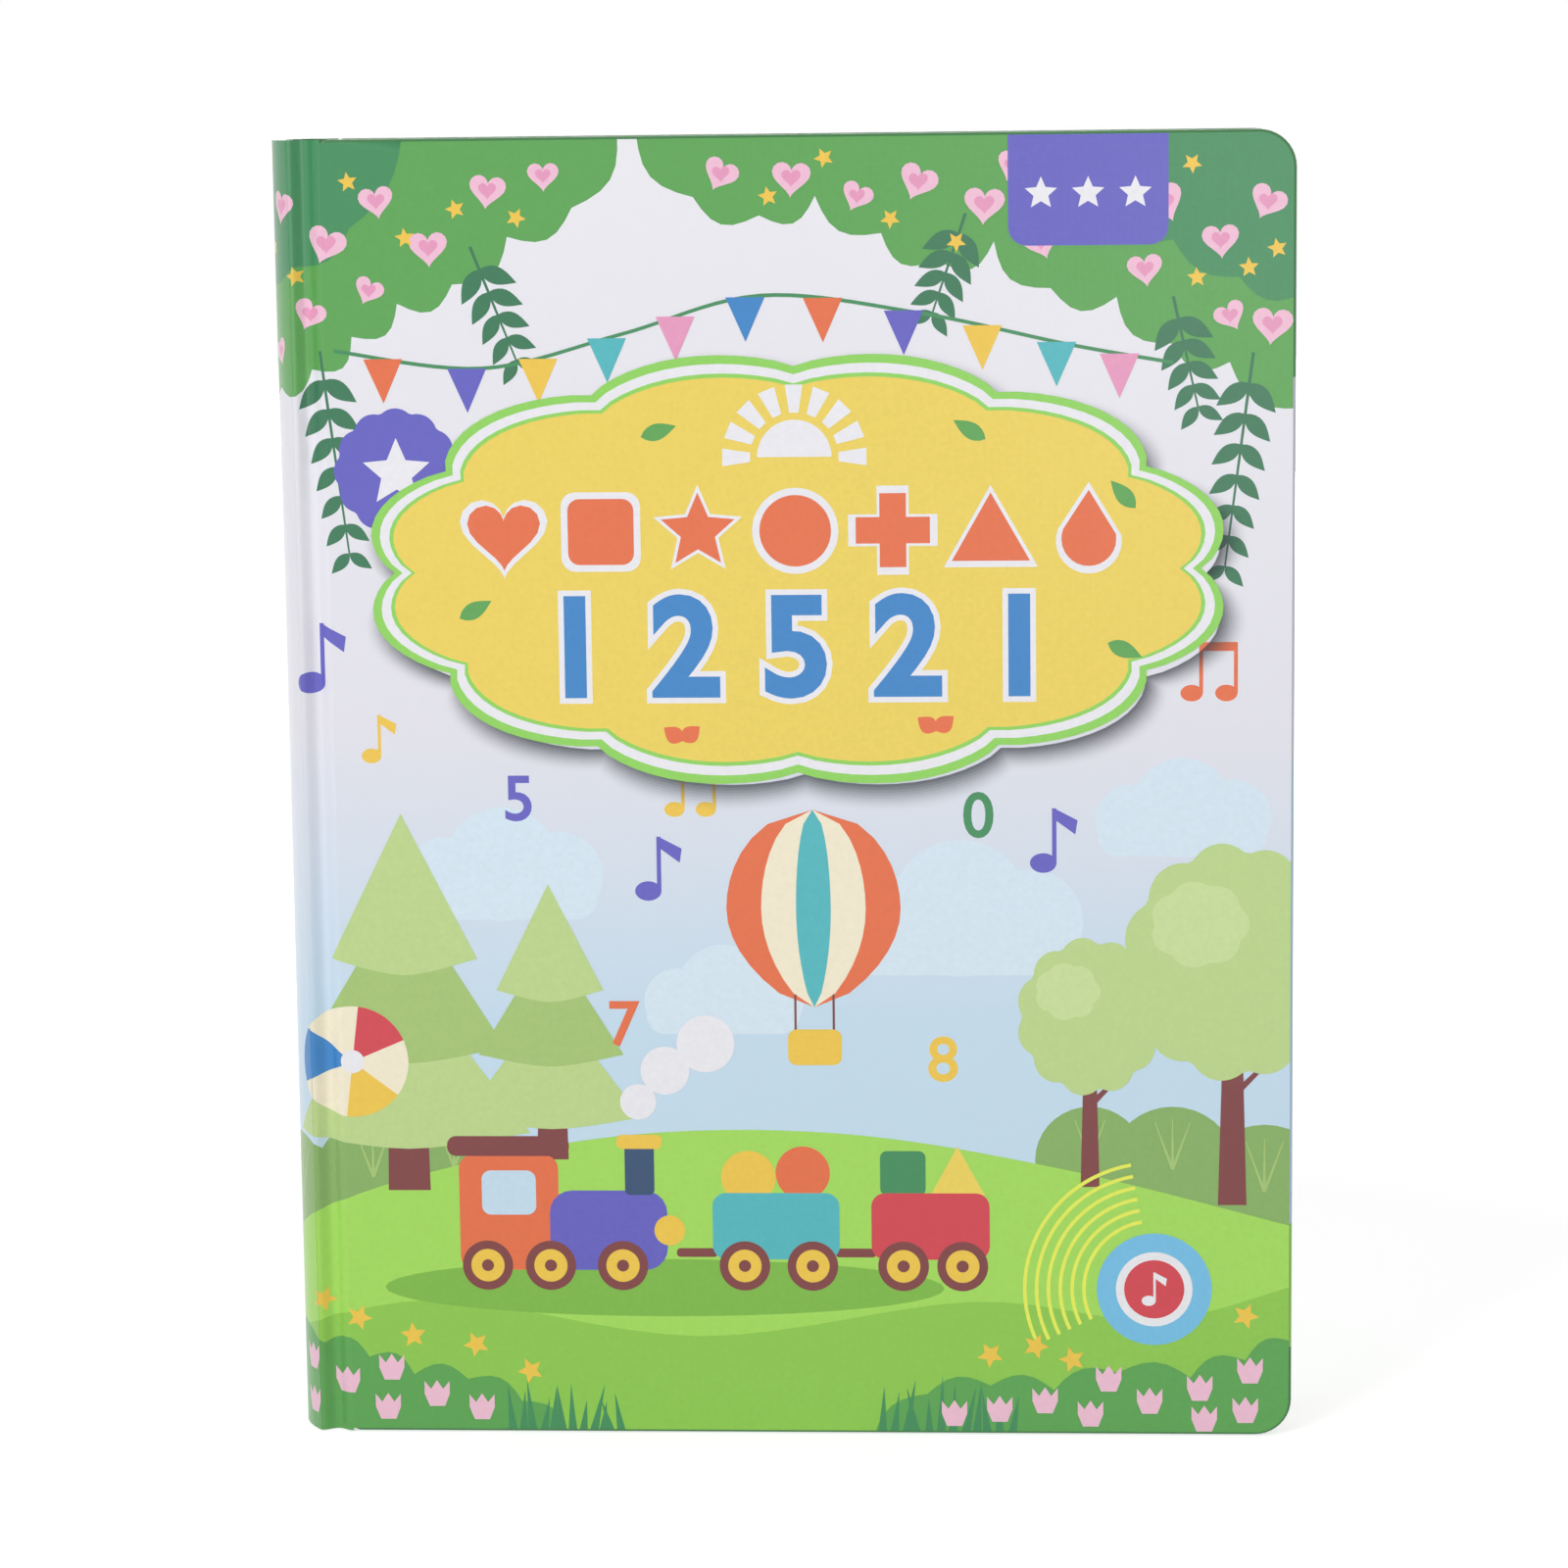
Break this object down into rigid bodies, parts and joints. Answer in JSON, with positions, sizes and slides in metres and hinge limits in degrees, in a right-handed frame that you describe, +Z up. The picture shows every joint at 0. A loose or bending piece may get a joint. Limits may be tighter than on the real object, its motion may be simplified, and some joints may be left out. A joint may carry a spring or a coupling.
{
  "type": "sound book",
  "caption": "Hardback children's sound book with bowed spine, thick card leaves, press keys and a battery sound module in the back cover.",
  "frame": {"origin": "middle of the foot of the closed book, standing on its tail edge", "axes": "+X from the spine to the fore-edge, +Y from the front cover to the back cover, +Z up the height of the book"},
  "size_m": [0.2202, 0.0276, 0.285],
  "materials": {
    "printed_wrap": "printed paper with a satin laminate",
    "page_card": "printed coated card",
    "lining_paper": "uncoated coloured paper",
    "well_card": "plain layered board",
    "key_film": "domed plastic film",
    "white_plastic": "fine moulded texture",
    "grey_plastic": "fine moulded texture",
    "dark_plastic": "smooth moulded",
    "steel": "zinc plated",
    "contact_steel": "nickel plated",
    "cell_jacket": "printed sleeve over a steel can",
    "board_laminate": "solder resist over glass laminate",
    "black_epoxy": "cast resin blob",
    "cone_paper": "pressed black paper",
    "foam": "closed-cell foam",
    "ferrite": "sintered",
    "amber_film": "flexible film",
    "red_sleeve": "soft wire sleeve",
    "black_sleeve": "soft wire sleeve"
  },
  "bodies": {
    "block": {"spine": "printed_wrap", "pages": "page_card"},
    "front_cover": {"front_cover": "printed_wrap", "front_lining": "lining_paper"},
    "back_cover": {"back_cover": "printed_wrap", "back_lining": "lining_paper", "module_well": "well_card", "module_base": "white_plastic", "module_lid": "grey_plastic", "cell_1": "cell_jacket", "cell_2": "cell_jacket", "cell_3": "cell_jacket", "lid_screw_1": "steel", "lid_screw_2": "steel", "lid_screw_3": "steel", "lid_screw_4": "steel", "circuit_board": "board_laminate", "sound_chip": "black_epoxy", "ribbon_socket": "white_plastic", "key_ribbon": "amber_film", "switch_body": "steel", "speaker_basket": "steel", "speaker_cone": "cone_paper", "speaker_gasket": "foam", "speaker_magnet": "ferrite", "speaker_lead_red": "red_sleeve", "speaker_lead_black": "black_sleeve", "cell_lead_red": "red_sleeve", "cell_lead_black": "black_sleeve", "contact_output_plus": "contact_steel", "contact_output_minus": "contact_steel", "contact_bridge_right": "contact_steel", "contact_bridge_left": "contact_steel"},
    "battery_door": {"battery_door": "white_plastic", "door_screw": "steel"},
    "power_switch": {"switch_thumb": "dark_plastic", "switch_lever": "dark_plastic"},
    "key_1": {"page_key_1": "key_film"},
    "key_2": {"page_key_2": "key_film"},
    "key_3": {"page_key_3": "key_film"},
    "key_4": {"page_key_4": "key_film"},
    "key_5": {"page_key_5": "key_film"},
    "key_6": {"page_key_6": "key_film"},
    "key_7": {"page_key_7": "key_film"},
    "key_8": {"page_key_8": "key_film"},
    "key_9": {"page_key_9": "key_film"}
  },
  "joints": [
    {"name": "front_cover_hinge", "type": "hinge", "parent": "block", "child": "front_cover", "pos_m": [-0.1043, -0.0124, 0], "axis": [0, 0, -1], "range_deg": [0, 180]},
    {"name": "back_cover_hinge", "type": "hinge", "parent": "block", "child": "back_cover", "pos_m": [-0.1043, 0.0124, 0], "axis": [0, 0, 1], "range_deg": [0, 180]},
    {"name": "battery_door_hinge", "type": "hinge", "parent": "back_cover", "child": "battery_door", "pos_m": [0.0256, 0.0134, 0.07885], "axis": [0, 0, 1], "range_deg": [0, 20]},
    {"name": "power_switch_slide", "type": "slide", "parent": "back_cover", "child": "power_switch", "axis": [1, 0, 0], "range_m": [0, 0.004]},
    {"name": "key_1_press", "type": "slide", "parent": "block", "child": "key_1", "axis": [0, 1, 0], "range_m": [0, 0.0004], "stiffness_N_per_m": 2000, "springref_m": -0.0003},
    {"name": "key_2_press", "type": "slide", "parent": "block", "child": "key_2", "axis": [0, 1, 0], "range_m": [0, 0.0004], "stiffness_N_per_m": 2000, "springref_m": -0.0003},
    {"name": "key_3_press", "type": "slide", "parent": "block", "child": "key_3", "axis": [0, 1, 0], "range_m": [0, 0.0004], "stiffness_N_per_m": 2000, "springref_m": -0.0003},
    {"name": "key_4_press", "type": "slide", "parent": "block", "child": "key_4", "axis": [0, 1, 0], "range_m": [0, 0.0004], "stiffness_N_per_m": 2000, "springref_m": -0.0003},
    {"name": "key_5_press", "type": "slide", "parent": "block", "child": "key_5", "axis": [0, 1, 0], "range_m": [0, 0.0004], "stiffness_N_per_m": 2000, "springref_m": -0.0003},
    {"name": "key_6_press", "type": "slide", "parent": "block", "child": "key_6", "axis": [0, 1, 0], "range_m": [0, 0.0004], "stiffness_N_per_m": 2000, "springref_m": -0.0003},
    {"name": "key_7_press", "type": "slide", "parent": "block", "child": "key_7", "axis": [0, 1, 0], "range_m": [0, 0.0004], "stiffness_N_per_m": 2000, "springref_m": -0.0003},
    {"name": "key_8_press", "type": "slide", "parent": "block", "child": "key_8", "axis": [0, 1, 0], "range_m": [0, 0.0004], "stiffness_N_per_m": 2000, "springref_m": -0.0003},
    {"name": "key_9_press", "type": "slide", "parent": "block", "child": "key_9", "axis": [0, 1, 0], "range_m": [0, 0.0004], "stiffness_N_per_m": 2000, "springref_m": -0.0003}
  ]
}
